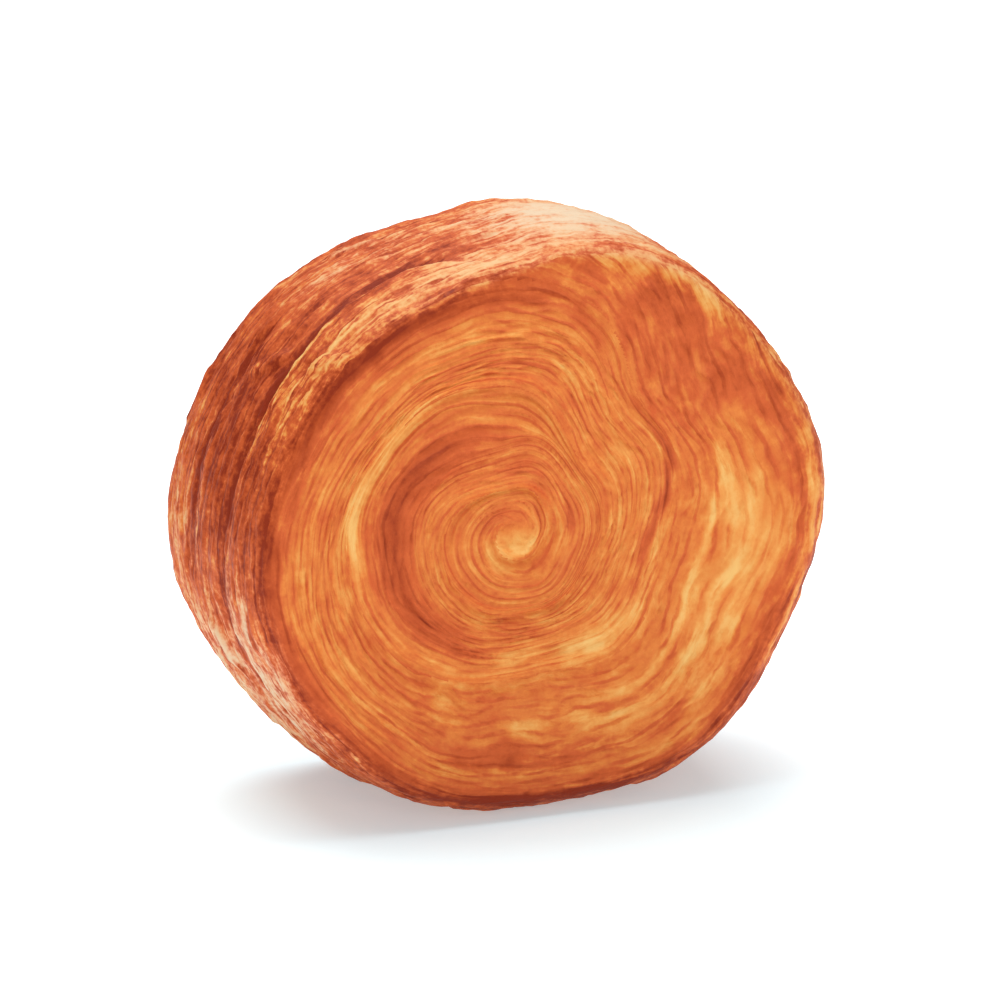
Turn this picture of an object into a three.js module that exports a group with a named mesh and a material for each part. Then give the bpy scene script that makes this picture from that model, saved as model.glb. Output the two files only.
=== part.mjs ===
// A croissant roll: one thick strip of laminated dough, wound into a disc and baked in a ring.
// It stands on its rim, as it is shown for sale. Millimetres, +Z up. The wound front face looks
// along -Y, and the origin lies on the floor, below the middle of the disc. Angles are in degrees,
// from +X towards +Z.
import * as THREE from "three";

// Driving dimensions of the disc
const FACE_RADIUS = 50; // mean radius of the front face, out to its edge
const THICKNESS = 47; // from the front face to the back face
const BARREL = 2.4; // how far the rim swells halfway between the faces
const BACK_GROWTH = 1.8; // how much larger the back face's radius is
const EDGE_RADIUS = 3.5; // rounding between a face and the rim
const AXIS_HEIGHT = 49.5; // of the disc's axis over the floor, which flattens the rim into a foot

// The ring never fills evenly, so the outline is a little oval and lumpy. Each wave has a number of
// crests, a height, and the angle of one crest.
const OUTLINE_WAVES = [
  { crests: 2, height: 1.95, at: 10 },
  { crests: 3, height: 0.43, at: 58 },
  { crests: 5, height: 0.4, at: 10 },
  { crests: 6, height: 0.64, at: 7 },
];

// The winding, from the strip's outer end inwards to the eye
const TURNS = 2.22; // of the strip, between the eye and the edge
const WINDING_START = 112; // where the strip's outer end comes out of the rim
const DRIFT_SECTOR = 85; // most of a turn's way inwards falls in this angle, clockwise of that end
const DRIFT_SHARE = 0.95; // the share of a turn's way inwards that falls there, near the edge
const DRIFT_START = 0.15; // share of the radius inside which the winding is even
const DRIFT_FULL = 0.7; // share of the radius outside which the drift is whole
const EYE_TURNS = 1; // more turns near the eye, as the strip tapers to its inner end
const EYE_TURNS_START = 0.34; // share of the radius that they start at

// The middle of the turns, at even shares of the radius from the eye out to the edge
const TURN_CENTRES = new THREE.SplineCurve([
  new THREE.Vector2(-6.7, 2.1),
  new THREE.Vector2(-7.9, 0.7),
  new THREE.Vector2(-8.5, 3.2),
  new THREE.Vector2(-4.1, -0.8),
  new THREE.Vector2(0, 0),
]);

// Relief of the faces
const SEAM_DEPTH = 0.6; // the groove between one turn of the strip and the next
const SEAM_WIDTH = 0.14; // of that groove, as a share of a turn
const TURN_CROWN = 0.4; // how far each turn domes between its seams
const LAYER_RIDGES = 2; // coarse ridges of dough layers in each turn
const LAYER_HEIGHT = 0.2; // of those ridges
const EYE_DIMPLE = 0.8; // depth of the hollow at the eye
const EYE_DIMPLE_RADIUS = 9;
const EYE_CALM = 0.12; // share of the radius within which the relief dies down towards the eye

// Relief of the rim
const FLAP_ANGLE = 88; // where the strip's loose end lies
const FLAP_HEIGHT = 0.6; // step of the loose end over the turn below it
const FLAP_REACH = 75; // angle over which it sinks back into the outline
const FLAP_END = 7; // angle of its blunt end
const FLAP_INSET = 0.72; // share of the radius inside which its step has faded
const CREASE_FRONT = 1.2; // a crease is steep towards the front face, within this width
const CREASE_BACK = 5; // and opens gently towards the back, over this width
const CREASE_WANDER = 1.2; // how far a crease strays to either side
const CREASE_STRAYS = 4; // strays in a full circle
const CREASE_FADE = 20; // angle over which a crease runs out at either end

// Creases where the crust split along the layers: how far each lies behind the front face, how much
// nearer to it the crease starts, the angle that it starts at and runs through, and its depth.
const CREASES = [
  { behind: 15.5, hook: 11, from: 95, through: 130, depth: 1.3 },
  { behind: 28, hook: 0, from: 136, through: 60, depth: 0.6 },
  { behind: 29, hook: 0, from: 238, through: 130, depth: 1.0 },
  { behind: 13, hook: 0, from: 290, through: 140, depth: 0.9 },
];

// Flakes of crust that lie on the rim: how far behind the front face the middle of each lies, its
// angle, and how it is turned from the way of the layers.
const FLAKES = [
  { behind: 5, at: 140, turn: 60 },
  { behind: 22, at: 146, turn: 50 },
  { behind: 37, at: 116, turn: 20 },
  { behind: 24, at: 200, turn: -15 },
  { behind: 35, at: 318, turn: 10 },
  { behind: 20, at: 20, turn: 0 },
];
const FLAKE_LENGTH = 10;
const FLAKE_WIDTH = 3.5;
const FLAKE_HEIGHT = 0.6;

// Facets
const SEGMENTS = 96;
const FRONT_RINGS = 22;
const EDGE_RINGS = 3;
const RIM_RINGS = 19;
const BACK_RINGS = 15;

const CRUST_COLOUR = 0xcf6a2c;
const CRUST_ROUGHNESS = 0.55;

const FULL_TURN = 2 * Math.PI;
const { degToRad, euclideanModulo, lerp, smoothstep } = THREE.MathUtils;

// The half section as a run of points from the middle of the front face round to that of the back
// face: radius in x and depth in y, on a plain disc without relief.
function discProfile() {
  const flat = FACE_RADIUS - EDGE_RADIUS;
  const half = THICKNESS / 2;
  const rimHalf = half - EDGE_RADIUS;
  const points = [];
  const addLine = (x0, y0, x1, y1, count) => {
    for (let i = 0; i < count; i++) {
      const share = i / count;
      points.push(new THREE.Vector2(lerp(x0, x1, share), lerp(y0, y1, share)));
    }
  };
  const addCorner = (y, startAngle) => {
    for (let i = 0; i < EDGE_RINGS; i++) {
      const angle = startAngle + ((i / EDGE_RINGS) * Math.PI) / 2;
      points.push(new THREE.Vector2(flat + EDGE_RADIUS * Math.cos(angle), y + EDGE_RADIUS * Math.sin(angle)));
    }
  };
  addLine(0, -half, flat, -half, FRONT_RINGS);
  addCorner(-rimHalf, -Math.PI / 2);
  addLine(FACE_RADIUS, -rimHalf, FACE_RADIUS, rimHalf, RIM_RINGS);
  addCorner(rimHalf, 0);
  addLine(flat, half, 0, half, BACK_RINGS);
  points.push(new THREE.Vector2(0, half));
  return points;
}

// The angle clockwise of another one, seen from the front, from 0 up to a full turn.
function clockwiseOf(start, angle) {
  return euclideanModulo(degToRad(start) - angle, FULL_TURN);
}

// How far across its turn a point of a face lies, from the turn's inner side.
function acrossTurn(share, angle) {
  const clockwise = clockwiseOf(WINDING_START, angle);
  const drift = DRIFT_SHARE * smoothstep(share, DRIFT_START, DRIFT_FULL);
  const inwards = lerp(clockwise / FULL_TURN, smoothstep(clockwise, 0, degToRad(DRIFT_SECTOR)), drift);
  const nearEye = Math.max(1 - share / EYE_TURNS_START, 0);
  return euclideanModulo(TURNS * (share - 1) - EYE_TURNS * nearEye ** 2 + inwards, 1);
}

// Height of the outline over the mean radius.
function outlineLift(angle) {
  return OUTLINE_WAVES.reduce(
    (sum, wave) => sum + wave.height * Math.cos(wave.crests * (angle - degToRad(wave.at))),
    0,
  );
}

// The strip's loose end stands on the turn below it, and thins out clockwise.
function flapLift(angle) {
  const clockwise = clockwiseOf(FLAP_ANGLE, angle);
  const thinning = 1 - smoothstep(clockwise, 0, degToRad(FLAP_REACH));
  const bluntEnd = smoothstep(clockwise, FULL_TURN - degToRad(FLAP_END), FULL_TURN);
  return FLAP_HEIGHT * (thinning + bluntEnd);
}

// Relief of a wound face at a share of the radius: seams between turns, crowned turns with ridges
// of layers, and the dimple at the eye.
function faceRelief(share, angle) {
  const across = acrossTurn(share, angle);
  const toSeam = Math.min(across, 1 - across);
  const seam = -SEAM_DEPTH * Math.exp(-((toSeam / SEAM_WIDTH) ** 2));
  const crown = TURN_CROWN * Math.sin(Math.PI * across);
  const ridges = LAYER_HEIGHT * Math.cos(FULL_TURN * LAYER_RIDGES * across);
  const dimple = -EYE_DIMPLE * Math.exp(-(((share * FACE_RADIUS) / EYE_DIMPLE_RADIUS) ** 2));
  const awayFromEye = smoothstep(share, 0, EYE_CALM);
  return (seam + crown + ridges) * awayFromEye + dimple;
}

// Depth of one crease at a place on the rim.
function creaseDepth(crease, behind, angle) {
  const along = euclideanModulo(angle - degToRad(crease.from), FULL_TURN);
  const end = degToRad(crease.through);
  const fade = degToRad(CREASE_FADE);
  const strength = smoothstep(along, 0, fade) * (1 - smoothstep(along, end - fade, end));
  const middle = crease.behind - crease.hook * (1 - smoothstep(along, 0, fade));
  const offset = behind - middle - CREASE_WANDER * Math.sin(CREASE_STRAYS * along);
  const width = offset < 0 ? CREASE_FRONT : CREASE_BACK;
  return strength * crease.depth * Math.exp(-Math.abs(offset) / width);
}

// Height of one flake at a place on the rim.
function flakeHeight(flake, behind, angle) {
  const turned = euclideanModulo(angle - degToRad(flake.at) + Math.PI, FULL_TURN) - Math.PI;
  const place = new THREE.Vector2(turned * FACE_RADIUS, behind - flake.behind);
  place.rotateAround(new THREE.Vector2(), -degToRad(flake.turn));
  const along = place.x / (FLAKE_LENGTH / 2);
  const across = place.y / (FLAKE_WIDTH / 2);
  return FLAKE_HEIGHT * Math.sqrt(Math.max(0, 1 - along ** 2 - across ** 2));
}

// Relief of the rim at a distance behind the front face: creases in the crust, and flakes on it.
function rimRelief(behind, angle) {
  const down = CREASES.reduce((sum, crease) => sum + creaseDepth(crease, behind, angle), 0);
  const up = FLAKES.reduce((sum, flake) => sum + flakeHeight(flake, behind, angle), 0);
  return up - down;
}

// Moves one point of the plain disc to its place on the baked roll.
function bake(point) {
  const radius = Math.hypot(point.x, point.z);
  const angle = Math.atan2(point.z, point.x);
  const share = Math.min(radius / FACE_RADIUS, 1);
  const back = point.y / THICKNESS + 0.5;

  const onRim = smoothstep(radius, FACE_RADIUS - EDGE_RADIUS, FACE_RADIUS);
  const face = faceRelief(share, angle) * (1 - onRim);
  const swell = BARREL * 4 * back * (1 - back) + BACK_GROWTH * back;
  const flap = flapLift(angle) * smoothstep(share, FLAP_INSET, 1);
  const lift = share * (outlineLift(angle) + swell) + flap + onRim * rimRelief(back * THICKNESS, angle);

  const centre = TURN_CENTRES.getPoint(share);
  const outOfFace = point.y < 0 ? -face : face;
  return new THREE.Vector3(
    centre.x + (radius + lift) * Math.cos(angle),
    point.y + outOfFace,
    Math.max(0, AXIS_HEIGHT + centre.y + (radius + lift) * Math.sin(angle)),
  );
}

function rollGeometry() {
  const geometry = new THREE.LatheGeometry(discProfile(), SEGMENTS);
  const position = geometry.getAttribute("position");
  const point = new THREE.Vector3();
  for (let i = 0; i < position.count; i++) {
    point.fromBufferAttribute(position, i);
    const baked = bake(point);
    position.setXYZ(i, baked.x, baked.y, baked.z);
  }
  geometry.computeVertexNormals();
  return geometry;
}

const crust = new THREE.MeshStandardMaterial({
  color: CRUST_COLOUR,
  roughness: CRUST_ROUGHNESS,
  metalness: 0,
});

const roll = new THREE.Mesh(rollGeometry(), crust);
roll.name = "croissant_roll";

const part = new THREE.Group();
part.add(roll);

export default part;
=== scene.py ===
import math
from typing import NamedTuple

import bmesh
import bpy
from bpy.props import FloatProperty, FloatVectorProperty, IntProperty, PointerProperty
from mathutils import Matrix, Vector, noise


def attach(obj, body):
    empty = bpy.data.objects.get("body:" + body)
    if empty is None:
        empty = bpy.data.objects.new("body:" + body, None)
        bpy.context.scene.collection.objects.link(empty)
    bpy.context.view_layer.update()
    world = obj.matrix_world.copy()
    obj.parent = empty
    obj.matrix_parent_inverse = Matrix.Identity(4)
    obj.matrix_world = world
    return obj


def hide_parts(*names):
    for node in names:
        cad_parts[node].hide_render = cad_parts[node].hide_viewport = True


bl_info = {
    "name": "Croissant Roll",
    "version": (1, 0, 0),
    "blender": (4, 5, 0),
    "location": "3D View > Sidebar > Croissant Roll",
    "description": "A wound roll of laminated croissant dough, standing on its rim, and its stage",
    "category": "Add Mesh",
}

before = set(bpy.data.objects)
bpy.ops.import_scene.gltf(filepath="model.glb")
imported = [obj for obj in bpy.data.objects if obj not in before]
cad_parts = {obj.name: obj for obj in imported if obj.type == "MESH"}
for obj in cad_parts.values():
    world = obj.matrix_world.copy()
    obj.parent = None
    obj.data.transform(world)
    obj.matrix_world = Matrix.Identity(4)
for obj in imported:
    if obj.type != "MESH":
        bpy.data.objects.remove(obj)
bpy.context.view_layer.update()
NODE = "croissant_roll"

MM = 0.001
FULL_TURN = 2 * math.pi


# Helpers for colours and shapes

def linear(hex_colour):
    """An sRGB hex value as linear red, green and blue."""
    channels = [int(hex_colour[i:i + 2], 16) / 255 for i in (1, 3, 5)]
    return tuple(c / 12.92 if c <= 0.04045 else ((c + 0.055) / 1.055) ** 2.4 for c in channels)


def ease(value, start, end):
    """A smooth step from 0 at start to 1 at end."""
    t = min(max((value - start) / (end - start), 0), 1)
    return t * t * (3 - 2 * t)


def bell(value, width):
    """1 at zero, falling away to either side."""
    return math.exp(-((value / width) ** 2))


def between(low, high, share):
    """The value at a share of the way from low to high."""
    return low + (high - low) * share


def turned_from(angle, middle):
    """How far an angle lies from another given in degrees, by the short way round."""
    return (angle - math.radians(middle) + math.pi) % FULL_TURN - math.pi


def on_ellipse(x, y, length, width, turn):
    """The square of how far a spot lies from an ellipse's middle: 1 on its line."""
    tilt = math.radians(turn)
    along = (x * math.cos(tilt) + y * math.sin(tilt)) / length
    across = (y * math.cos(tilt) - x * math.sin(tilt)) / width
    return along ** 2 + across ** 2


# Settings that a user would change

class RollShape(bpy.types.PropertyGroup):
    """Sizes of the roll."""

    face_radius: FloatProperty(
        name="Face radius", description="Mean radius of the front face, out to its edge",
        default=50 * MM, unit="LENGTH",
    )
    thickness: FloatProperty(
        name="Thickness", description="From the front face to the back face",
        default=47 * MM, unit="LENGTH",
    )
    edge_radius: FloatProperty(
        name="Edge radius", description="Rounding between a face and the rim",
        default=3.5 * MM, unit="LENGTH",
    )
    axis_height: FloatProperty(
        name="Axis height", description="Height of the disc's axis over the floor",
        default=49.5 * MM, unit="LENGTH",
    )
    segments: IntProperty(
        name="Segments", description="Steps round the disc", default=320, min=24,
    )


class CrustTones(bpy.types.PropertyGroup):
    """Tones of the crust, from the palest to the darkest."""

    # A pale pink that stands in for the sheen of the light on the rim: a painted sheen over pale layers.
    sheen_blush: FloatVectorProperty(
        name="Blush", description="Layers of the rim that the heat hardly reached",
        subtype="COLOR", default=linear("#DCC2A3"),
    )
    cream: FloatVectorProperty(
        name="Cream", description="Layers of the faces that the heat hardly reached",
        subtype="COLOR", default=linear("#E9B66C"),
    )
    golden: FloatVectorProperty(
        name="Golden", description="Lightly baked layers",
        subtype="COLOR", default=linear("#E3984D"),
    )
    amber: FloatVectorProperty(
        name="Amber", description="The faces for the most part",
        subtype="COLOR", default=linear("#DA7B38"),
    )
    copper: FloatVectorProperty(
        name="Copper", description="Well browned stretches of the faces",
        subtype="COLOR", default=linear("#CA5C2D"),
    )
    chestnut: FloatVectorProperty(
        name="Chestnut", description="The rim, which lay against the hot ring",
        subtype="COLOR", default=linear("#AD461E"),
    )
    # In the crevices of the rim the darkest tones are partly painted shade.
    umber: FloatVectorProperty(
        name="Umber", description="Creases of the rim and the edge of the face",
        subtype="COLOR", default=linear("#882B0F"),
    )


class StudioSet(bpy.types.PropertyGroup):
    """The camera, the lights and the floor."""

    turn: FloatProperty(
        name="Turn", description="How far the camera stands round to the left of the front face",
        default=math.radians(22.69), subtype="ANGLE",
    )
    rise: FloatProperty(
        name="Rise", description="How far the camera looks down",
        default=math.radians(13.44), subtype="ANGLE",
    )
    distance: FloatProperty(
        name="Distance", description="From the camera to what it looks at",
        default=749 * MM, unit="LENGTH",
    )
    lens: FloatProperty(
        name="Lens", description="Focal length on a 36 mm sensor, in millimetres",
        default=154.0,
    )
    floor_colour: FloatVectorProperty(
        name="Floor", description="Colour of the floor",
        subtype="COLOR", default=linear("#F4F5F5"),
    )
    # Near the roll the floor is painted cooler, to cancel the warm light that the roll throws on it.
    near_cool_tint: FloatVectorProperty(
        name="Floor near the roll", description="The same, cooler, because the roll's glow is warm",
        subtype="COLOR", default=linear("#D2E3E9"),
    )
    glow_colour: FloatVectorProperty(
        name="Glow", description="Colour of the floor's glow",
        subtype="COLOR", default=linear("#F4FEFF"),
    )
    # The glow grows from floor_glow near the roll to far_glow away from it: partly to keep the floor
    # white, partly painted light that narrows the roll's shadow.
    floor_glow: FloatProperty(
        name="Floor glow", description="Light that the floor gives off, which keeps its shadow soft",
        default=0.36,
    )
    far_glow: FloatProperty(
        name="Far glow", description="The same, away from the roll, where the floor stays white",
        default=0.7,
    )


# The outline. The ring never fills evenly, so it is a little oval and lumpy: each wave has a number
# of crests, a height, and the angle of one crest in degrees, from +X towards +Z.
OUTLINE_WAVES = [
    (2, 1.95 * MM, 10),
    (3, 0.43 * MM, 58),
    (5, 0.4 * MM, 10),
    (6, 0.64 * MM, 7),
]
# How far the rim swells halfway along it, and how much wider the back face is all round
BARREL = 2.4 * MM
BACK_GROWTH = 1.8 * MM

# The winding, from the strip's outer end inwards to the eye: how many turns it has and the angle that
# it starts at. It goes inwards for the most part in one sector after the start: the sector's angle,
# its share of the way inwards, and the shares of the radius that this comes in over.
TURNS = 2.22
WINDING_START = math.radians(112)
DRIFT_SECTOR = math.radians(85)
DRIFT_SHARE = 0.95
DRIFT_RANGE = (0.15, 0.7)
# The middle of the turns, at even shares of the radius from the eye out to the edge
TURN_CENTRES = [
    (-6.7 * MM, 2.1 * MM),
    (-7.9 * MM, 0.7 * MM),
    (-8.5 * MM, 3.2 * MM),
    (-4.1 * MM, -0.8 * MM),
    (0, 0),
]
# The strip tapers to its inner end: more turns near the eye, and the share of the radius that they
# start at
EYE_TURNS = 1.0
EYE_TURNS_START = 0.34
# The oven bends the layers to and fro: the seed of the bends, the size of one, how far it goes, and
# the shares of the radius that it dies down at, towards the eye and towards the edge
BEND_SEED = 3
BEND_SIZE = 16 * MM
BEND = 1.8 * MM
BEND_CALM = (0.0, 0.12, 0.7, 0.95)
# Mean radius of the innermost turns, for lengths along the strip
EYE_TURN_RADIUS = 7 * MM

# Stacked layers: how far apart in the noise two neighbours lie, where inside a layer the step to the
# next one starts, and how wide the line between two is. A noise of its own says how much of the line
# shows: how fine it is, where it is read, how far apart two neighbours lie in it, its mean and swing.
LAYER_APART = 3.7
STEP_START = 0.65
LINE_WIDTH = 0.18
FADE_FINENESS = 1.7
FADE_SLICE = 5
FADE_APART = 2.3
FADE_MEAN = 0.5
FADE_SWING = 0.8
# Plates of crust: how far apart in the noise two neighbours lie, and how wide the slope between two is
PLATE_APART = 7
PLATE_SLOPE = 0.2

# Relief of the faces: the seam between two turns, the crown of a turn, the layers, the dimple of the
# eye, where the layers die down towards the eye and the seam, and the length and width of the flakes
SEAM_DEPTH = 0.5 * MM
SEAM_WIDTH = 0.1
CROWN = 0.4 * MM
LAYER = 1.7 * MM
LAYER_LENGTH = 7 * MM
LAYER_STEP = 0.3 * MM
LAYER_GROOVE = 0.3 * MM
EYE_DIMPLE = 0.8 * MM
EYE_RADIUS = 9 * MM
EYE_CALM = (0.0, 0.1)
SEAM_CALM = 0.06
FACE_FLAKE = (10 * MM, 1.9 * MM)
FACE_FLAKE_HEIGHT = 0.2 * MM
# How many layers they wander sideways, how uneven the face is, and the length and width of a swing
FACE_WANDER = 1.5
FACE_WANDER_SIZE = (10 * MM, 6 * MM)
UNEVEN = 0.3 * MM
UNEVEN_SIZE = (13 * MM, 6 * MM)
# Where in the noise each pattern of a face is read, and how far on for the front and for the back
WANDER_SLICE = 11
FLAKE_SLICE = 40
UNEVEN_SLICE = 60
FRONT_SLICE = 1
BACK_SLICE = 90

# Relief of the rim. The strip's loose end: its angle, its height, how far it takes to thin out, how long
# its blunt end is, and the share of the radius that it starts at.
FLAP_ANGLE = math.radians(88)
FLAP_HEIGHT = 0.6 * MM
FLAP_REACH = math.radians(75)
FLAP_END = math.radians(7)
FLAP_INSET = 0.72
# A crease: how far it reaches forwards and backwards, how far it wanders and how often, how long its
# ends take to fade, how far behind its line its dark bottom lies and how wide that is, and how far in
# front of it the thin lip lies and how wide that is. The dark bottom is painted shade over browner
# crust, and the lip is paler partly as a layer edge and partly with a painted highlight.
CREASE_FRONT = 1.2 * MM
CREASE_BACK = 5 * MM
CREASE_WANDER = 1.2 * MM
CREASE_STRAYS = 4
CREASE_FADE = math.radians(20)
CREVICE_BEHIND = 0.6 * MM
CREVICE_WIDTH = 1.5 * MM
LIP_AHEAD = 1.5 * MM
LIP_WIDTH = 0.9 * MM
# Each crease: how far behind the front face, how much nearer to it the crease starts, the angle that
# it starts at and runs through, and its depth
CREASES = [
    (15.5 * MM, 11 * MM, 95, 130, 1.3 * MM),
    (28 * MM, 0, 136, 60, 0.6 * MM),
    (29 * MM, 0, 238, 130, 1.0 * MM),
    (13 * MM, 0, 290, 140, 0.9 * MM),
]
# Each flake: how far behind the front face its middle lies, its angle, and how it is turned
FLAKES = [
    (5 * MM, 140, 60),
    (22 * MM, 146, 50),
    (37 * MM, 116, 20),
    (24 * MM, 200, -15),
    (35 * MM, 318, 10),
    (20 * MM, 20, 0),
]
FLAKE_LENGTH = 10 * MM
FLAKE_WIDTH = 3.5 * MM
FLAKE_HEIGHT = 0.6 * MM
FLAKE_SLOPE = 0.4
# Layers of the rim, how far they wander and how dark their lines are, partly with painted shade, plates
# of crust, and grain
RIM_LAYER = 1.7 * MM
RIM_LAYER_LENGTH = 13 * MM
RIM_STEP = 0.5 * MM
RIM_GROOVE = 0.45 * MM
RIM_WANDER = 1.2
RIM_WANDER_SIZE = 11 * MM
RIM_LINE_DARK = 0.4
RIM_FLAKE = (9 * MM, 2.6 * MM)
RIM_FLAKE_HEIGHT = 0.3 * MM
GRAIN = 1.8 * MM
GRAIN_HEIGHT = 0.26 * MM

# Points of the spun disc that lie closer than this are one
MERGE_DISTANCE = 0.001 * MM
# The angle that the rim's map starts at, which is at the bottom
MAP_START = math.radians(-90)
# Rings of the half section, and the profile of its round corners
FRONT_RINGS = 140
EDGE_RINGS = 7
RIM_RINGS = 92
BACK_RINGS = 56
ROUND_PROFILE = 0.5
# What each point keeps for the material
CRUST_LAYERS = ("browning", "pale", "rim", "grain", "sheen_blush")

# How brown the faces are, and how much darker the lines between their layers: partly browner crust,
# partly painted shade in the grooves
FACE_BROWN = 0.48
FACE_LINE_BROWN_AND_SHADE = 0.12
# Tones of the faces. Each follows the layers: how far along the strip its middle lies and how long
# it is, in degrees from the strip's outer end, how far across the turn it lies and how wide it is,
# as shares of a turn, how much it browns the crust, and how much of it is pale.
FACE_TONES = [
    (678, 84, 0.97, 0.17, -0.08, 0.44),
    (598, 48, 0.87, 0.10, -0.06, 0.22),
    (540, 64, 0.83, 0.14, -0.14, 0.34),
    (494, 36, 0.88, 0.06, -0.05, 0.45),
    (104, 30, 0.36, 0.04, -0.04, 0.55),
    (116, 26, 0.45, 0.03, -0.02, 0.45),
    (130, 28, 0.54, 0.03, -0.04, 0.55),
    (148, 30, 0.61, 0.03, -0.02, 0.45),
    (146, 50, 0.42, 0.04, -0.05, 0.45),
    (166, 36, 0.36, 0.03, -0.02, 0.40),
    (112, 60, 0.25, 0.03, -0.02, 0.35),
    (134, 110, 0.46, 0.28, -0.18, 0.10),
    (470, 120, 0.45, 0.40, -0.06, 0.10),
    (195, 24, 0.31, 0.06, 0.0, 0.3),
    (376, 60, 0.62, 0.09, -0.05, 0.25),
    (282, 70, 0.50, 0.20, -0.03, 0.15),
    (403, 40, 0.41, 0.05, 0.0, 0.25),
    (360, 70, 0.91, 0.08, 0.14, 0.0),
    (655, 140, 0.60, 0.16, 0.30, -0.15),
    (395, 50, 0.29, 0.03, 0.18, 0.0),
    # These four paint the seam on the right darker: painted shade along the seam.
    (449, 14, 0.93, 0.05, 0.26, -0.2),
    (461, 14, 0.86, 0.05, 0.28, -0.2),
    (473, 14, 0.79, 0.05, 0.26, -0.2),
    (485, 14, 0.73, 0.05, 0.22, -0.2),
    (56, 80, 0.45, 0.4, 0.16, -0.15),
    (112, 90, 0.84, 0.13, 0.20, -0.15),
    (167, 40, 0.31, 0.04, 0.18, 0.0),
    (187, 90, 0.53, 0.1, 0.2, 0.0),
    (182, 90, 0.92, 0.10, 0.36, 0.0),
]
# The shares of half its length that a tone fades out over
TONE_FADE = (0.5, 1.5)
# How far along the strip the tones of the back lie from those of the front, in degrees
BACK_SHIFT = 130
# Tones in the eye, where the strip's inner end lies: the middle, how far it reaches along and across,
# how it is turned, and again how brown and how pale
EYE_TONES = [
    (0.6 * MM, -2.6 * MM, 6.5 * MM, 2.8 * MM, 6, -0.08, 0.62),
    (-1.5 * MM, 2.5 * MM, 5 * MM, 2.0 * MM, 10, 0.08, -0.1),
    (10 * MM, 3 * MM, 3.6 * MM, 0.7 * MM, 97, 0.25, -0.2),
]

# How brown the rim is and how much of it is pale, also in crevices, on lips and on flakes, and how far
# round the corner its tones take over from those of the face. The crevices are painted shade over
# browner crust, and the lips are paler partly with a painted highlight.
RIM_BROWN = 0.64
RIM_PALE = -0.25
CREVICE_BROWN_AND_SHADE = 0.3
CREVICE_PALE = -0.5
LIP_PALE_AND_HIGHLIGHT = 0.4
FLAKE_PALE = 0.35
RIM_TONE_RANGE = (0.3, 0.7)
# Tones of the rim: the angle of the middle and the reach to either side, in degrees, how far behind
# the front face the middle lies and how wide it is, again how brown and how pale, and how much of what
# is pale takes a pink, painted sheen.
RIM_TONES = [
    (108, 18, 6 * MM, 7 * MM, -0.2, 0.6, 0.2),
    (130, 18, 5 * MM, 6 * MM, -0.12, 0.5, 0.1),
    (146, 16, 9 * MM, 6 * MM, -0.10, 0.55, 0.0),
    (172, 14, 8 * MM, 6 * MM, 0.1, -0.2, 0.0),
    # The lower left: partly paler layers, partly a painted sheen.
    (202, 22, 9 * MM, 8 * MM, -0.12, 0.45, 0.9),
    (163, 20, 24 * MM, 9 * MM, 0.16, -0.1, 0.0),
    (122, 16, 32 * MM, 12 * MM, -0.16, 0.35, 0.6),
    (180, 20, 38 * MM, 11 * MM, -0.18, 0.25, 0.6),
    # The top: mostly a painted highlight from the light above, over the paler skin of the loose end.
    (79, 25, 22 * MM, 20 * MM, -0.3, 0.95, 1.0),
    (104, 4, 17 * MM, 4 * MM, 0.2, -0.4, 0.0),
    # The lower left again: partly paler layers, partly a painted sheen.
    (212, 24, 26 * MM, 18 * MM, -0.22, 0.65, 1.0),
    (20, 45, 24 * MM, 30 * MM, -0.12, 0.24, 0.3),
]
# The loose end lies with its smooth skin outwards: its angle, its reach to either side, and how much
# of the layers it hides
SKIN_ANGLE = 76
SKIN_REACH = math.radians(22)
SKIN_CALM = 0.45
# The edge of the faces: how brown it is, where round the corner it lies and how wide it is, the shares
# of the radius that it comes in over, and the middle of its dark stretch and where that fades out
EDGE_BROWN = 0.28
EDGE_CORNER = 0.4
EDGE_WIDTH = 0.48
EDGE_START = (0.86, 0.95)
EDGE_DARK_ANGLE = 197
EDGE_DARK_FADE = (math.radians(85), math.radians(112))
# Painted light on the edge, on the right and at the top: the angle and the reach to either side in
# degrees, and how pale it makes the edge
EDGE_PAINTED_LIGHTS = [
    (4, 56, 0.68),
    (66, 16, 0.55),
]


# The winding

class Place(NamedTuple):
    """Where a point of the plain disc lies on the wound strip."""

    share: float  # of the way from the middle of the disc to its edge
    angle: float  # from +X towards +Z
    behind: float  # behind the front face
    corner: float  # from 0 on a face round to 1 on the rim
    unwound: float  # angle along the strip from its outer end
    across: float  # share of the way across its turn, from the turn's inner side
    pitch: float  # width of its turn


def bent(point, share):
    """The point of an even winding that the oven bent to this point of a face."""
    eye_start, eye_end, edge_start, edge_end = BEND_CALM
    strength = BEND * ease(share, eye_start, eye_end) * (1 - ease(share, edge_start, edge_end))
    side = math.copysign(1, point.y)
    return point + strength * noise.noise_vector(Vector((point.x, point.z, side)) / BEND_SIZE)


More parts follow.
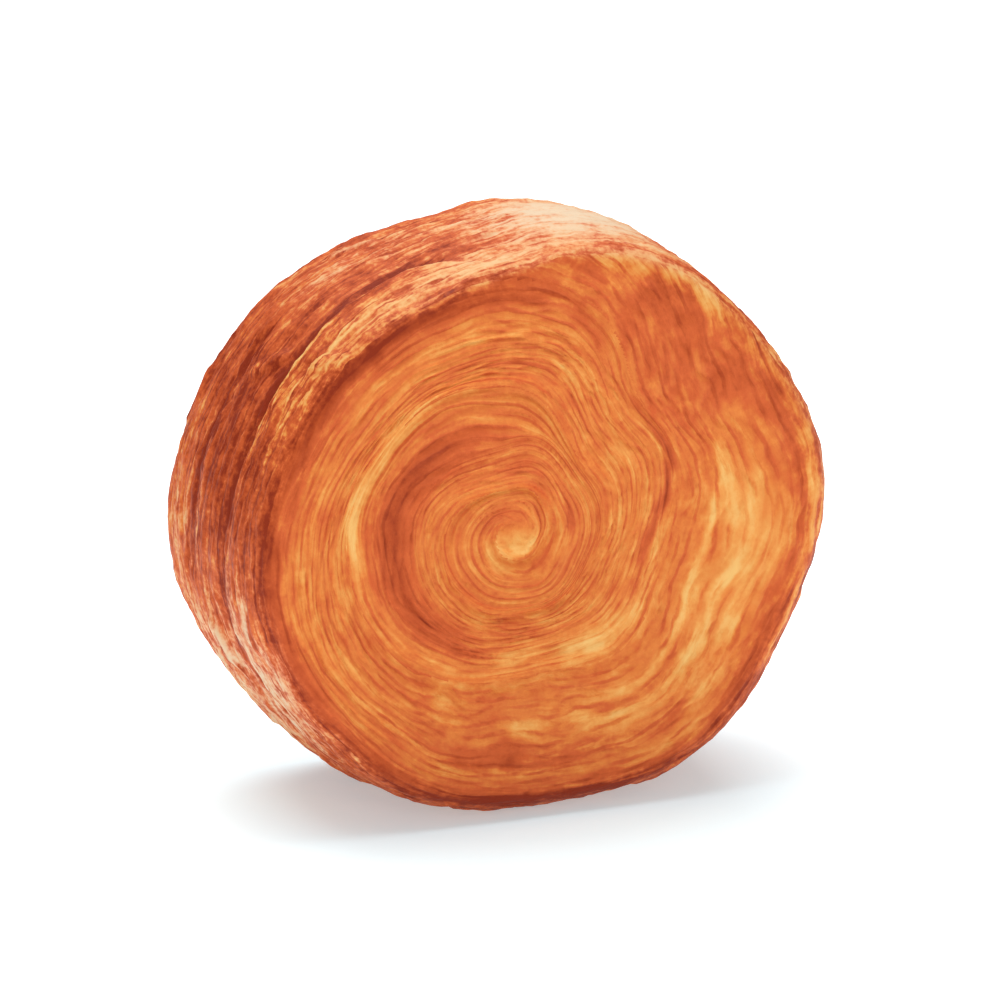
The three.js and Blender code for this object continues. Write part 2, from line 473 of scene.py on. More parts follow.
def locate(point, shape):
    """The place of a point of the plain disc."""
    radius = math.hypot(point.x, point.z)
    share = min(radius / shape.face_radius, 1)
    angle = math.atan2(point.z, point.x)
    spot = bent(point, share)
    wound_share = min(math.hypot(spot.x, spot.z) / shape.face_radius, 1)
    clockwise = (WINDING_START - math.atan2(spot.z, spot.x)) % FULL_TURN
    drift = DRIFT_SHARE * ease(wound_share, *DRIFT_RANGE)
    inwards = between(clockwise / FULL_TURN, ease(clockwise, 0, DRIFT_SECTOR), drift)
    near_eye = max(1 - wound_share / EYE_TURNS_START, 0)
    phase = TURNS * (wound_share - 1) - EYE_TURNS * near_eye ** 2 + inwards
    pitch = shape.face_radius / (TURNS + 2 * EYE_TURNS * near_eye / EYE_TURNS_START)
    turn = math.floor(phase)
    past_face = max(radius - shape.face_radius + shape.edge_radius, 0)
    past_rim = max(abs(point.y) - shape.thickness / 2 + shape.edge_radius, 0)
    corner = math.atan2(past_face, past_rim) / (math.pi / 2)
    behind = point.y + shape.thickness / 2
    return Place(share, angle, behind, corner, clockwise - FULL_TURN * turn, phase - turn, pitch)


def turn_centre(share):
    """The middle of the turns at a share of the radius, on a smooth curve through TURN_CENTRES."""
    last = len(TURN_CENTRES) - 1
    step = min(int(share * last), last - 1)
    t = share * last - step
    before, start, end, after = (
        Vector(TURN_CENTRES[min(max(step + i, 0), last)]) for i in (-1, 0, 1, 2)
    )
    leave = (end - before) / 2
    arrive = (after - start) / 2
    bend = 3 * (end - start) - 2 * leave - arrive
    twist = 2 * (start - end) + leave + arrive
    return start + leave * t + bend * t ** 2 + twist * t ** 3


def strip_run(unwound, shape):
    """Length along the middle of the strip from its outer end, as the turns grow smaller."""
    # The middle of the outermost turn lies half a turn outside the edge of the face
    outermost = shape.face_radius * (1 + 0.5 / TURNS)
    shrink = shape.face_radius / (FULL_TURN * TURNS)
    shrinking = min(unwound, (outermost - EYE_TURN_RADIUS) / shrink)
    run = outermost * shrinking - shrink * shrinking ** 2 / 2
    return run + EYE_TURN_RADIUS * (unwound - shrinking)


def laid_flat(place, shape, turns=0):
    """Where a place lies on the strip when that is laid flat: along it and across it."""
    run = strip_run(place.unwound + turns * FULL_TURN, shape)
    return Vector((run, (place.across + turns) * place.pitch))


# Relief

def outline_lift(angle):
    """Height of the outline over the mean radius."""
    return sum(h * math.cos(n * (angle - math.radians(at))) for n, h, at in OUTLINE_WAVES)


def flap_lift(angle):
    """The strip's loose end stands on the turn below it, and thins out clockwise."""
    clockwise = (FLAP_ANGLE - angle) % FULL_TURN
    thinning = 1 - ease(clockwise, 0, FLAP_REACH)
    blunt_end = ease(clockwise, FULL_TURN - FLAP_END, FULL_TURN)
    return FLAP_HEIGHT * (thinning + blunt_end)


def layered(depth, along):
    """Edges of stacked layers: a height from -1 to 1, and 0 to 1 near the line between two."""
    layer = math.floor(depth)
    inside = depth - layer
    low = noise.noise(along + Vector((0, 0, LAYER_APART * layer)))
    high = noise.noise(along + Vector((0, 0, LAYER_APART * (layer + 1))))
    height = between(low, high, ease(inside, STEP_START, 1))
    fade_spot = along * FADE_FINENESS + Vector((FADE_SLICE, 0, FADE_APART * layer))
    fade = FADE_MEAN + FADE_SWING * noise.noise(fade_spot)
    line = bell(min(inside, 1 - inside), LINE_WIDTH) * min(max(fade, 0), 1)
    return height, line


def plates(spot):
    """Flakes of crust side by side, each at a height of its own from -1 to 1."""
    distances, points = noise.voronoi(spot)
    to_border = distances[1] - distances[0]
    return noise.cell(points[0] * PLATE_APART) * ease(to_border, 0, PLATE_SLOPE)


def on_slice(run, depth, size, at, wander=0):
    """Where in the noise a place of the strip is read, for a pattern of this length and width."""
    return Vector((run / size[0], depth / size[1] + wander, at))


def face_relief(place, shape, side):
    """Height of a wound face, and how deep in a line between layers it is."""
    run, depth = laid_flat(place, shape)
    to_seam = min(place.across, 1 - place.across)
    valley = -SEAM_DEPTH * bell(to_seam, SEAM_WIDTH)
    crown = CROWN * math.sin(math.pi * place.across)
    dimple = -EYE_DIMPLE * bell(place.share * shape.face_radius, EYE_RADIUS)
    wander = FACE_WANDER * noise.noise(on_slice(run, depth, FACE_WANDER_SIZE, WANDER_SLICE + side))
    height, line = layered(depth / LAYER + wander, Vector((run / LAYER_LENGTH, side, 0)))
    flake = plates(on_slice(run, depth, FACE_FLAKE, FLAKE_SLICE + side, wander))
    uneven = UNEVEN * noise.noise(on_slice(run, depth, UNEVEN_SIZE, UNEVEN_SLICE + side))
    layers = LAYER_STEP * height - LAYER_GROOVE * line + uneven + FACE_FLAKE_HEIGHT * flake
    seam_calm = ease(to_seam, 0, SEAM_CALM)
    calm = ease(place.share, *EYE_CALM)
    return (valley + crown + layers * seam_calm) * calm + dimple, line * seam_calm * calm


class RimRelief(NamedTuple):
    """What the rim is like at a place."""

    height: float
    # crevice carries painted shade into the tones, and lip a painted highlight
    crevice: float  # 0 to 1, how deep in a crease or a line between layers
    lip: float  # 0 to 1, how near the thin lip in front of a crease
    flake: float  # 0 to 1, how far on a loose flake


def skin(place):
    """How far the loose end's skin hides the layers of the rim."""
    return SKIN_CALM * bell(turned_from(place.angle, SKIN_ANGLE), SKIN_REACH)


def rim_relief(place, shape):
    """Relief of the rim: creases, loose flakes, layers, plates of crust and grain."""
    height = 0
    crevice = 0
    lip = 0
    for behind, hook, start, through, depth in CREASES:
        along = (place.angle - math.radians(start)) % FULL_TURN
        end = math.radians(through)
        strength = ease(along, 0, CREASE_FADE) * (1 - ease(along, end - CREASE_FADE, end))
        middle = behind - hook * (1 - ease(along, 0, CREASE_FADE))
        offset = place.behind - middle - CREASE_WANDER * math.sin(CREASE_STRAYS * along)
        width = CREASE_FRONT if offset < 0 else CREASE_BACK
        height -= strength * depth * math.exp(-abs(offset) / width)
        crevice = max(crevice, strength * bell(offset - CREVICE_BEHIND, CREVICE_WIDTH))
        lip = max(lip, strength * bell(offset + LIP_AHEAD, LIP_WIDTH))
    on_flake = 0
    for behind, at, turn in FLAKES:
        run = turned_from(place.angle, at) * shape.face_radius
        over = place.behind - behind
        outwards = on_ellipse(run, over, FLAKE_LENGTH / 2, FLAKE_WIDTH / 2, turn)
        on_flake = max(on_flake, ease(1 - outwards, 0, FLAKE_SLOPE))
    around = Vector((math.cos(place.angle), math.sin(place.angle), 0)) * shape.face_radius
    lengthways = Vector((0, 0, place.behind))
    wander = RIM_WANDER * noise.noise((around + lengthways) / RIM_WANDER_SIZE)
    layer, line = layered(place.behind / RIM_LAYER + wander, around / RIM_LAYER_LENGTH)
    flake = plates(around / RIM_FLAKE[0] + lengthways / RIM_FLAKE[1] + Vector((0, 0, wander)))
    grain = noise.noise((around + lengthways) / GRAIN)
    shown = 1 - skin(place)
    height += FLAKE_HEIGHT * on_flake + GRAIN_HEIGHT * grain
    height += (RIM_STEP * layer - RIM_GROOVE * line + RIM_FLAKE_HEIGHT * flake) * shown
    return RimRelief(height, max(crevice, RIM_LINE_DARK * line * shown), lip, on_flake)


# Tones

def face_tone(place, line, shape):
    """How brown a face is, and how much of it is pale."""
    # The lines between layers are partly browner crust, partly painted shade in the grooves.
    brown = FACE_BROWN + FACE_LINE_BROWN_AND_SHADE * line
    pale = 0
    run = math.degrees(place.unwound)
    for along, length, across, width, browning, pallor in FACE_TONES:
        # A tone beside a seam goes on in the turn next to it
        for turn in (-1, 0, 1):
            reach = abs(run + 360 * turn - along) / (length / 2)
            if reach < TONE_FADE[1]:
                strength = (1 - ease(reach, *TONE_FADE)) * bell(place.across + turn - across, width)
                brown += browning * strength
                pale += pallor * strength
    radius = place.share * shape.face_radius
    for x, z, length, width, turn, browning, pallor in EYE_TONES:
        over = radius * math.cos(place.angle) - x
        up = radius * math.sin(place.angle) - z
        strength = math.exp(-on_ellipse(over, up, length, width, turn))
        brown += browning * strength
        pale += pallor * strength
    return brown, pale


def rim_tone(place, relief):
    """How brown the rim is, how much of it is pale, and how much of that takes a painted sheen."""
    # Crevices: painted shade over browner crust. Lips: paler, partly with a painted highlight.
    brown = RIM_BROWN + CREVICE_BROWN_AND_SHADE * relief.crevice
    pale = RIM_PALE + LIP_PALE_AND_HIGHLIGHT * relief.lip + FLAKE_PALE * relief.flake
    sheen_blush = 0
    for angle, reach, behind, width, browning, pallor, sheen_pink in RIM_TONES:
        strength = bell(turned_from(place.angle, angle), math.radians(reach))
        strength *= bell(place.behind - behind, width)
        brown += browning * strength
        pale += pallor * strength
        sheen_blush += sheen_pink * strength
    return brown, pale + CREVICE_PALE * relief.crevice, min(sheen_blush, 1)


def edge_tone(place):
    """The edge is dark where it lay against the ring, and paler on the right and at the top with painted
    light.
    """
    on_edge = bell(place.corner - EDGE_CORNER, EDGE_WIDTH) * ease(place.share, *EDGE_START)
    dark = 1 - ease(abs(turned_from(place.angle, EDGE_DARK_ANGLE)), *EDGE_DARK_FADE)
    light = sum(
        pallor * bell(turned_from(place.angle, angle), math.radians(reach))
        for angle, reach, pallor in EDGE_PAINTED_LIGHTS
    )
    return EDGE_BROWN * dark * on_edge, light * on_edge


# The mesh

def half_section(bm, shape):
    """The disc's half section: a line across each face and one along the rim, with round corners."""
    half = shape.thickness / 2
    corners = [(0, -half), (shape.face_radius, -half), (shape.face_radius, half), (0, half)]
    verts = [bm.verts.new((x, y, 0)) for x, y in corners]
    for start, end in zip(verts, verts[1:]):
        bm.edges.new((start, end))
    bmesh.ops.bevel(
        bm, geom=verts[1:3], offset=shape.edge_radius, offset_type="OFFSET", affect="VERTICES",
        segments=EDGE_RINGS, profile=ROUND_PROFILE, material=-1,
    )
    # The three straight lines are the longest
    straight = sorted(bm.edges, key=lambda edge: edge.calc_length())[-3:]
    for edge in straight:
        middle = (edge.verts[0].co + edge.verts[1].co) / 2
        if abs(middle.y) < half / 2:
            rings = RIM_RINGS
        else:
            rings = FRONT_RINGS if middle.y < 0 else BACK_RINGS
        bmesh.ops.subdivide_edges(bm, edges=[edge], cuts=rings - 1)


def bake(bm, shape):
    """Moves every point of the plain disc to its place on the roll, and keeps its tones."""
    brown_layer, pale_layer, rim_layer, grain_layer, sheen_blush_layer = (
        bm.verts.layers.float.new(name) for name in CRUST_LAYERS
    )
    for vert in bm.verts:
        place = locate(vert.co, shape)
        side = FRONT_SLICE if vert.co.y < 0 else BACK_SLICE
        on_rim = ease(place.corner, 0, 1)
        face, face_line = face_relief(place, shape, side)
        rim = rim_relief(place, shape)

        back = place.behind / shape.thickness
        swell = BARREL * 4 * back * (1 - back) + BACK_GROWTH * back
        flap = flap_lift(place.angle) * ease(place.share, FLAP_INSET, 1)
        lift = place.share * (outline_lift(place.angle) + swell) + flap + on_rim * rim.height
        out_of_face = face * (1 - on_rim) * math.copysign(1, vert.co.y)

        shift = math.radians(BACK_SHIFT) if vert.co.y > 0 else 0
        on_strip = place._replace(unwound=place.unwound + shift)
        face_brown, face_pale = face_tone(on_strip, face_line, shape)
        rim_brown, rim_pale, sheen_blush = rim_tone(place, rim)
        edge_brown, edge_pale = edge_tone(place)
        rim_share = ease(place.corner, *RIM_TONE_RANGE)
        # The painted sheen lies on the rim only
        vert[sheen_blush_layer] = sheen_blush * rim_share
        vert[brown_layer] = between(face_brown, rim_brown, rim_share) + edge_brown
        vert[pale_layer] = between(face_pale, rim_pale, rim_share) + edge_pale
        vert[rim_layer] = rim_share
        vert[grain_layer] = ease(place.share, *EYE_CALM) * (1 - skin(place) * rim_share)

        centre = turn_centre(place.share)
        radius = math.hypot(vert.co.x, vert.co.z) + lift
        vert.co = (
            centre.x + radius * math.cos(place.angle),
            vert.co.y + out_of_face,
            max(0, shape.axis_height + centre.y + radius * math.sin(place.angle)),
        )


def unwind(bm, shape):
    """Lays the UV map in millimetres: along the strip and across it, or round the rim and along it."""
    layer = bm.loops.layers.uv.new("strip")
    for face in bm.faces:
        middle = locate(face.calc_center_median(), shape)
        on_rim = middle.corner > 0.5
        on_back = middle.behind > shape.thickness / 2
        for loop in face.loops:
            place = locate(loop.vert.co, shape)
            if on_rim:
                angle = (middle.angle - MAP_START) % FULL_TURN
                angle += (place.angle - middle.angle + math.pi) % FULL_TURN - math.pi
                uv = Vector((angle * shape.face_radius, place.behind))
            else:
                turns = round((middle.unwound - place.unwound) / FULL_TURN)
                uv = laid_flat(place, shape, turns)
                if on_back:
                    uv += Vector((0, shape.face_radius))
            loop[layer].uv = uv / MM


# Materials

def add_node(tree, kind, settings=(), links=()):
    """Adds a node, sets its properties and sockets, and links sockets to other nodes' outputs."""
    node = tree.nodes.new(kind)
    for name, value in dict(settings).items():
        if isinstance(name, str) and hasattr(node, name):
            setattr(node, name, value)
        else:
            node.inputs[name].default_value = value
    for name, output in dict(links).items():
        tree.links.new(output, node.inputs[name])
    return node


# Patterns of the crust, in millimetres along and across the strip or straight through the solid: length
# and width, detail, and how far each browns the crust on the faces and on the rim. Real fibres and
# specks are finer, too fine to show in the render, so they are drawn as coarse as it needs.
PATTERNS = {
    "bands": ("strip", 14, 2.2, 1.5, 0.4, 0.5),
    "fibres": ("strip", 3.6, 0.55, 2, 0.06, 0.35),
    "blotches": ("strip", 9, 4, 2, 0.3, 0.5),
    "mottle": ("solid", 3.5, 3.5, 3, 0.25, 0.8),
    "specks": ("solid", 0.9, 0.9, 2, 0.15, 0.55),
}
# A noise lies about this value, and a pattern keeps so much of its finer detail
NOISE_MEAN = 0.5
PATTERN_ROUGHNESS = 0.6
# The layers sway from side to side: length and width of a sway in millimetres, and how far it goes
SWAYS = [
    (16, 8, 2.8),
    (3, 1.6, 0.5),
]
SWAY_DETAIL = 2.0
# Edges of the layers: from one to the next in millimetres, how thin the dark line between two is,
# the length and width of the stretches that show it, their detail, where their noise starts to show it
# and shows it in full, and how far it darkens the faces and the rim, partly as browner crust and
# partly as painted shade
LEAF = 1.6
LEAF_LINE = 0.5
LEAF_STRETCH = (10, 2)
LEAF_DETAIL = 3.0
LEAF_SHOWN = (0.38, 0.66)
LEAF_BROWN_AND_SHADE = (0.16, 0.22)
# How far the patterns feather the pale stretches, on the faces and on the rim
FEATHER = {
    "bands": (-1.1, -1.7),
    "fibres": (-0.5, -1.2),
    "mottle": (-0.5, -1.2),
    "specks": (-0.2, -0.9),
    "gap": (-0.15, -0.5),
}
# A wave texture of scale 1 repeats at every tenth of pi
WAVE_REPEAT = math.pi / 10
# How brown each tone from cream to umber is, and where a tone goes before it gets its place
RAMP_PLACES = [0.02, 0.24, 0.44, 0.62, 0.82, 1.0]
RAMP_MIDDLE = 0.5
# Pale stretches: how pale a place has to be to turn cream and is when all cream, the most that does, how
# brown the cream is, and how far the bands brown it
CREAM_RANGE = (0.0, 0.9)
CREAM_MOST = 0.95
CREAM_BROWN = 0.06
CREAM_BANDS = 0.5
# How pale a place has to be to take the pink of the painted sheen and takes it in full, and the cream
# that is left under it
SHEEN_BLUSH_RANGE = (-0.1, 0.9)
CREAM_UNDER_SHEEN = 0.3
# The gloss of the egg wash: its roughness, how far that changes in blotches, how much light it bends
# and how much it mirrors
WASH_ROUGHNESS = 0.55
WASH_BLOTCHES = 0.5
WASH_IOR = 1.45
WASH_SPECULAR = 0.15
# Bumps of the fibres, the specks and the lines between the layers
BUMP_STRENGTH = 0.35
BUMP_HEIGHT = 0.3 * MM


def crust_material(tones):
    """Browned croissant crust: laminated dough, washed with egg and baked against a hot ring."""
    # The butter between the layers leaves streaks along them, from cream where the heat hardly
    # reached to red-brown where it did, and the egg wash gives a soft, uneven gloss. A pale pink over
    # the pale stretches of the rim is a painted sheen.
    material = bpy.data.materials.new("browned_crust")
    material.use_nodes = True
    tree = material.node_tree
    tree.nodes.clear()
    strip = add_node(tree, "ShaderNodeUVMap", {"uv_map": "strip"}).outputs["UV"]
    tone, pale, rim, grain, sheen_blush = (
        add_node(tree, "ShaderNodeAttribute", {"attribute_name": name}).outputs["Fac"]
        for name in CRUST_LAYERS
    )
    solid = add_node(tree, "ShaderNodeTexCoord").outputs["Object"]
    solid = add_node(
        tree, "ShaderNodeVectorMath", {"operation": "SCALE", "Scale": 1 / MM}, {0: solid},
    ).outputs["Vector"]

    # Layers that sway
    for length, width, sway in SWAYS:
        mapping = add_node(
            tree, "ShaderNodeMapping", {"Scale": (1 / length, 1 / width, 1)}, {"Vector": strip},
        )
        bend = add_node(
            tree, "ShaderNodeTexNoise", {"Scale": 1.0, "Detail": SWAY_DETAIL},
            {"Vector": mapping.outputs["Vector"]},
        ).outputs["Fac"]
        bend = add_node(
            tree, "ShaderNodeMath", {"operation": "MULTIPLY_ADD", 1: sway, 2: -sway * NOISE_MEAN},
            {0: bend},
        ).outputs["Value"]
        sideways = add_node(tree, "ShaderNodeCombineXYZ", {}, {"Y": bend}).outputs["Vector"]
        strip = add_node(
            tree, "ShaderNodeVectorMath", {"operation": "ADD"}, {0: strip, 1: sideways},
        ).outputs["Vector"]

    # Patterns that brown the crust
    coords = {"strip": strip, "solid": solid}
    patterns = {}
    for name, (space, length, width, detail, on_face, on_rim) in PATTERNS.items():
        mapping = add_node(
            tree, "ShaderNodeMapping", {"Scale": (1 / length, 1 / width, 1 / length)},
            {"Vector": coords[space]},
        )
        pattern = add_node(
            tree, "ShaderNodeTexNoise", {"Scale": 1.0, "Detail": detail, "Roughness": PATTERN_ROUGHNESS},
            {"Vector": mapping.outputs["Vector"]},
        ).outputs["Fac"]
        pattern = add_node(
            tree, "ShaderNodeMath", {"operation": "SUBTRACT", 1: NOISE_MEAN}, {0: pattern},
        ).outputs["Value"]
        if space == "strip":
            pattern = add_node(
                tree, "ShaderNodeMath", {"operation": "MULTIPLY"}, {0: pattern, 1: grain},
            ).outputs["Value"]
        weight = add_node(
            tree, "ShaderNodeMapRange", {"To Min": on_face, "To Max": on_rim}, {"Value": rim},
        ).outputs["Result"]
        tone = add_node(
            tree, "ShaderNodeMath", {"operation": "MULTIPLY_ADD"}, {0: pattern, 1: weight, 2: tone},
        ).outputs["Value"]
        patterns[name] = pattern

    # Dark lines between the layers: partly browner crust, partly painted shade
    leaves = add_node(
        tree, "ShaderNodeTexWave",
        {"wave_type": "BANDS", "bands_direction": "Y", "Scale": WAVE_REPEAT / LEAF, "Distortion": 0.0},
        {"Vector": strip},
    ).outputs["Fac"]
    gap = add_node(
        tree, "ShaderNodeMapRange",
        {"interpolation_type": "SMOOTHSTEP", "From Min": LEAF_LINE, "From Max": 0.0},
        {"Value": leaves},
    ).outputs["Result"]
    mapping = add_node(
        tree, "ShaderNodeMapping", {"Scale": (1 / LEAF_STRETCH[0], 1 / LEAF_STRETCH[1], 1)},
        {"Vector": strip},
    )
    stretch = add_node(
        tree, "ShaderNodeTexNoise", {"Scale": 1.0, "Detail": LEAF_DETAIL},
        {"Vector": mapping.outputs["Vector"]},
    ).outputs["Fac"]
    shown = add_node(
        tree, "ShaderNodeMapRange",
        {"interpolation_type": "SMOOTHSTEP", "From Min": LEAF_SHOWN[0], "From Max": LEAF_SHOWN[1]},
        {"Value": stretch},
    ).outputs["Result"]
    shown = add_node(
        tree, "ShaderNodeMath", {"operation": "MULTIPLY"}, {0: shown, 1: grain},
    ).outputs["Value"]
    gap = add_node(
        tree, "ShaderNodeMath", {"operation": "MULTIPLY"}, {0: gap, 1: shown},
    ).outputs["Value"]
    weight = add_node(
        tree, "ShaderNodeMapRange", {"To Min": LEAF_BROWN_AND_SHADE[0], "To Max": LEAF_BROWN_AND_SHADE[1]}, {"Value": rim},
    ).outputs["Result"]
    tone = add_node(
        tree, "ShaderNodeMath", {"operation": "MULTIPLY_ADD"}, {0: gap, 1: weight, 2: tone},
    ).outputs["Value"]
    patterns["gap"] = gap

    # Pale stretches, feathered by the patterns
    feathered = pale
    for name, (on_face, on_rim) in FEATHER.items():
        weight = add_node(
            tree, "ShaderNodeMapRange", {"To Min": on_face, "To Max": on_rim}, {"Value": rim},
        ).outputs["Result"]
        feathered = add_node(
            tree, "ShaderNodeMath", {"operation": "MULTIPLY_ADD"},
            {0: patterns[name], 1: weight, 2: feathered},
        ).outputs["Value"]
    cream_share = add_node(
        tree, "ShaderNodeMapRange",
        {
            "interpolation_type": "SMOOTHSTEP", "To Max": CREAM_MOST,
            "From Min": CREAM_RANGE[0], "From Max": CREAM_RANGE[1],
        },
        {"Value": feathered},
    ).outputs["Result"]
    # Less cream where the painted sheen lies
    yellow = add_node(
        tree, "ShaderNodeMapRange", {"To Min": 1.0, "To Max": CREAM_UNDER_SHEEN}, {"Value": sheen_blush},
    ).outputs["Result"]
    cream_share = add_node(
        tree, "ShaderNodeMath", {"operation": "MULTIPLY"}, {0: cream_share, 1: yellow},
    ).outputs["Value"]
    cream_tone = add_node(
        tree, "ShaderNodeMath", {"operation": "MULTIPLY_ADD", 1: CREAM_BANDS, 2: CREAM_BROWN},
        {0: patterns["bands"]},
    ).outputs["Value"]
    tone = add_node(
        tree, "ShaderNodeMix", {"data_type": "FLOAT"},
        {"Factor": cream_share, "A": tone, "B": cream_tone},
    ).outputs["Result"]

    # The colour of each tone, and the painted sheen over it
    ramp = add_node(tree, "ShaderNodeValToRGB", {}, {"Fac": tone})
    stops = [tones.cream, tones.golden, tones.amber, tones.copper, tones.chestnut, tones.umber]
    elements = ramp.color_ramp.elements
    while len(elements) < len(stops):
        elements.new(RAMP_MIDDLE)
    for element, position, colour in zip(elements, RAMP_PLACES, stops):
        element.position = position
        element.color = (*colour, 1)
    sheen_blush_share = add_node(
        tree, "ShaderNodeMapRange",
        {"interpolation_type": "SMOOTHSTEP", "From Min": SHEEN_BLUSH_RANGE[0], "From Max": SHEEN_BLUSH_RANGE[1]},
        {"Value": feathered},
    ).outputs["Result"]
    sheen_blush_share = add_node(
        tree, "ShaderNodeMath", {"operation": "MULTIPLY"}, {0: sheen_blush_share, 1: sheen_blush},
    ).outputs["Value"]
    colour = add_node(
        tree, "ShaderNodeMix", {"data_type": "RGBA", "B": (*tones.sheen_blush, 1)},
        {"Factor": sheen_blush_share, "A": ramp.outputs["Color"]},
    ).outputs["Result"]

    # The gloss and the bumps
    roughness = add_node(
        tree, "ShaderNodeMath", {"operation": "MULTIPLY_ADD", 1: WASH_BLOTCHES, 2: WASH_ROUGHNESS},
        {0: patterns["blotches"]},
    ).outputs["Value"]
    height = add_node(
        tree, "ShaderNodeMath", {"operation": "ADD"}, {0: patterns["fibres"], 1: patterns["specks"]},
    ).outputs["Value"]
    height = add_node(
        tree, "ShaderNodeMath", {"operation": "SUBTRACT"}, {0: height, 1: gap},
    ).outputs["Value"]
    bump = add_node(
        tree, "ShaderNodeBump", {"Strength": BUMP_STRENGTH, "Distance": BUMP_HEIGHT}, {"Height": height},
    ).outputs["Normal"]
    shader = add_node(
        tree, "ShaderNodeBsdfPrincipled", {"IOR": WASH_IOR, "Specular IOR Level": WASH_SPECULAR},
        {"Base Color": colour, "Roughness": roughness, "Normal": bump},
    )
    add_node(tree, "ShaderNodeOutputMaterial", {}, {"Surface": shader.outputs["BSDF"]})
    return material


# How far from the roll's middle the floor's painted cool tint gives way to white, and how far its glow
# grows, in metres
WHITE_REACH = (0.045, 0.08)
GLOW_REACH = (0.035, 0.1)


def floor_material(studio):
    """Matt acrylic light table: a pale surface, painted cooler near the roll, with a faint glow that
    grows away from it, and without a gloss.
    """
    material = bpy.data.materials.new("matt_light_table")
    material.use_nodes = True
    shader = material.node_tree.nodes["Principled BSDF"]
    shader.inputs["Roughness"].default_value = 1
    shader.inputs["Specular IOR Level"].default_value = 0
    shader.inputs["Emission Color"].default_value = (*studio.glow_colour, 1)
    tree = material.node_tree
    coords = add_node(tree, "ShaderNodeTexCoord").outputs["Object"]
    distance = add_node(
        tree, "ShaderNodeVectorMath", {"operation": "LENGTH"}, {0: coords},
    ).outputs["Value"]
    white = add_node(
        tree, "ShaderNodeMapRange",
        {"interpolation_type": "SMOOTHSTEP", "From Min": WHITE_REACH[0], "From Max": WHITE_REACH[1]},
        {"Value": distance},
    ).outputs["Result"]
    # Painted cool tint near the roll, against its warm light
    colour = add_node(
        tree, "ShaderNodeMix",
        {"data_type": "RGBA", "A": (*studio.near_cool_tint, 1), "B": (*studio.floor_colour, 1)},
        {"Factor": white},
    ).outputs["Result"]
    tree.links.new(colour, shader.inputs["Base Color"])
    # The glow grows away from the roll: painted light that narrows its shadow
    glow = add_node(
        tree, "ShaderNodeMapRange",
        {
            "From Min": GLOW_REACH[0], "From Max": GLOW_REACH[1],
            "To Min": studio.floor_glow, "To Max": studio.far_glow,
        },
        {"Value": distance},
    ).outputs["Result"]
    tree.links.new(glow, shader.inputs["Emission Strength"])
    return material


# The stage: half the floor's width, and the light from all round
FLOOR_REACH = 4
WORLD_STRENGTH = 0.4
# Softboxes: the name, the place and the size in metres, and the power in watts
SOFTBOXES = [
    ("top_softbox", (0.0, 0.15, 0.75), 0.8, 6.2),
    ("front_softbox", (-0.2, -0.9, 0.28), 0.6, 2.0),
]
# What the softboxes are aimed at, and what the camera looks at
LIGHT_TARGET = Vector((0, 0, 50 * MM))
CAMERA_TARGET = Vector((-0.3 * MM, 0, 51.13 * MM))
# Width of the camera's sensor in millimetres, and the nearest that it sees in metres
SENSOR_WIDTH = 36
CLIP_START = 0.01


# Operators

def mesh_object(bm, name, material):
    """Turns a bmesh into an object in the scene."""
    mesh = bpy.data.meshes.new(name)
    bm.to_mesh(mesh)
    bm.free()
    mesh.materials.append(material)
    obj = bpy.data.objects.new(name, mesh)
    bpy.context.scene.collection.objects.link(obj)
    return obj


class CROISSANT_OT_roll(bpy.types.Operator):
    """Makes the wound roll with its browned crust"""

    bl_idname = "croissant.roll"
    bl_label = "Croissant Roll"

    def execute(self, context):
        shape = context.scene.roll_shape
        bm = bmesh.new()
        half_section(bm, shape)
        bmesh.ops.spin(
            bm, geom=bm.verts[:] + bm.edges[:], cent=(0, 0, 0), axis=(0, 1, 0),
            angle=FULL_TURN, steps=shape.segments, use_merge=True,
        )
        bmesh.ops.remove_doubles(bm, verts=bm.verts, dist=MERGE_DISTANCE)
        bmesh.ops.recalc_face_normals(bm, faces=bm.faces)
        noise.seed_set(BEND_SEED)
        unwind(bm, shape)
        bake(bm, shape)
        for face in bm.faces:
            face.smooth = True
        roll = mesh_object(bm, "baked_roll", crust_material(context.scene.crust_tones))
        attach(roll, "root")
        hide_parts(NODE)
        return {"FINISHED"}


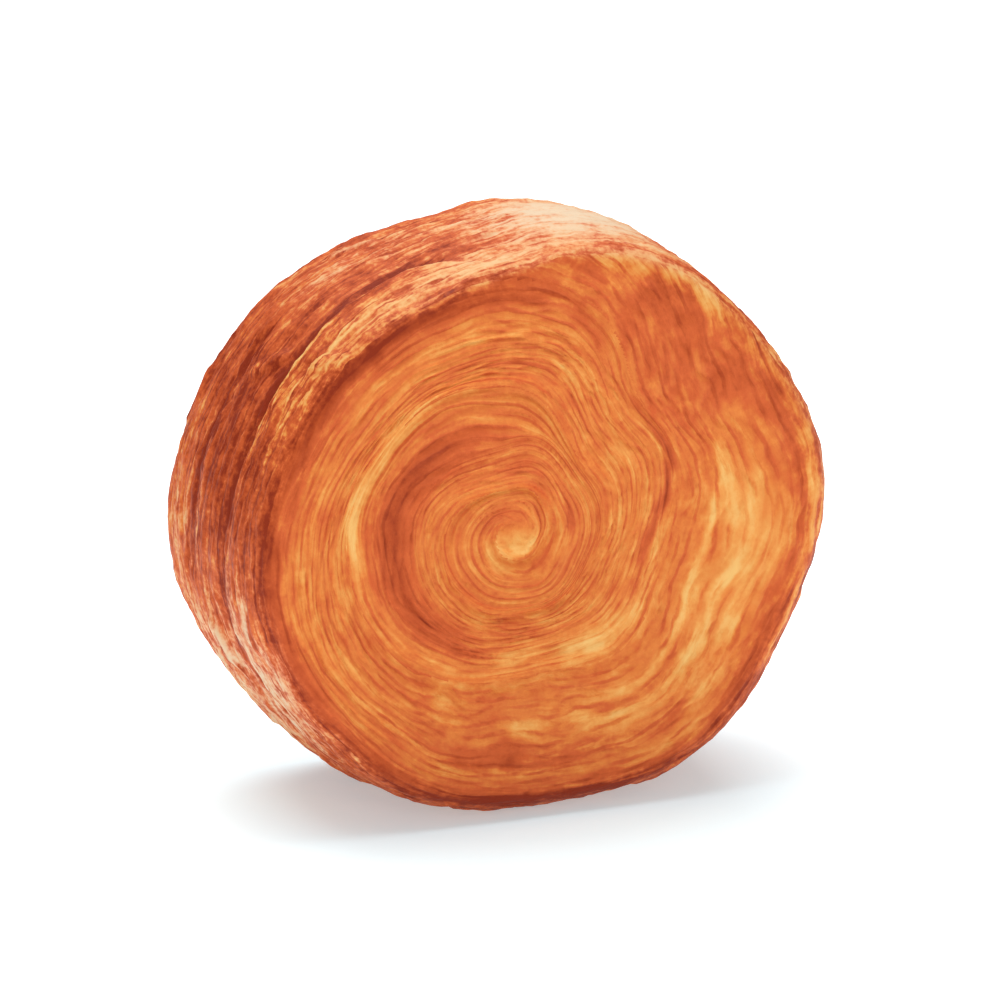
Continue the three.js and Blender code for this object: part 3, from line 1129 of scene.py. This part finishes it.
class CROISSANT_OT_stage(bpy.types.Operator):
    """Sets the floor, the lights and the camera"""

    bl_idname = "croissant.stage"
    bl_label = "Stage"

    def execute(self, context):
        scene = context.scene
        studio = scene.studio_set
        bm = bmesh.new()
        bmesh.ops.create_grid(bm, x_segments=1, y_segments=1, size=FLOOR_REACH)
        floor = mesh_object(bm, "floor", floor_material(studio))

        world = bpy.data.worlds.new("studio_world")
        world.use_nodes = True
        background = world.node_tree.nodes["Background"]
        background.inputs["Color"].default_value = (1, 1, 1, 1)
        background.inputs["Strength"].default_value = WORLD_STRENGTH
        scene.world = world

        for name, place, size, power in SOFTBOXES:
            light = bpy.data.lights.new(name, "AREA")
            light.size = size
            light.energy = power
            lamp = bpy.data.objects.new(name, light)
            lamp.location = place
            aim = LIGHT_TARGET - lamp.location
            lamp.rotation_euler = aim.to_track_quat("-Z", "Y").to_euler()
            scene.collection.objects.link(lamp)

        away = Vector((
            -math.sin(studio.turn) * math.cos(studio.rise),
            -math.cos(studio.turn) * math.cos(studio.rise),
            math.sin(studio.rise),
        ))
        camera = bpy.data.objects.new("camera", bpy.data.cameras.new("camera"))
        camera.data.lens = studio.lens
        camera.data.sensor_width = SENSOR_WIDTH
        camera.data.clip_start = CLIP_START
        camera.location = CAMERA_TARGET + away * studio.distance
        camera.rotation_euler = (-away).to_track_quat("-Z", "Y").to_euler()
        scene.collection.objects.link(camera)
        scene.camera = camera
        scene.view_settings.view_transform = "Standard"
        return {"FINISHED"}


class CROISSANT_PT_panel(bpy.types.Panel):
    """Lists the roll and its stage"""

    bl_label = "Croissant Roll"
    bl_space_type = "VIEW_3D"
    bl_region_type = "UI"
    bl_category = "Croissant Roll"

    def draw(self, context):
        for group in (context.scene.roll_shape, context.scene.crust_tones, context.scene.studio_set):
            for name in group.__annotations__:
                self.layout.prop(group, name)
        self.layout.operator(CROISSANT_OT_roll.bl_idname)
        self.layout.operator(CROISSANT_OT_stage.bl_idname)


CLASSES = (
    RollShape, CrustTones, StudioSet, CROISSANT_OT_roll, CROISSANT_OT_stage, CROISSANT_PT_panel,
)


def register():
    for cls in CLASSES:
        bpy.utils.register_class(cls)
    bpy.types.Scene.roll_shape = PointerProperty(type=RollShape)
    bpy.types.Scene.crust_tones = PointerProperty(type=CrustTones)
    bpy.types.Scene.studio_set = PointerProperty(type=StudioSet)


def unregister():
    del bpy.types.Scene.studio_set
    del bpy.types.Scene.crust_tones
    del bpy.types.Scene.roll_shape
    for cls in reversed(CLASSES):
        bpy.utils.unregister_class(cls)


def main():
    register()
    bpy.ops.croissant.roll()
    bpy.ops.croissant.stage()


if __name__ == "__main__":
    main()
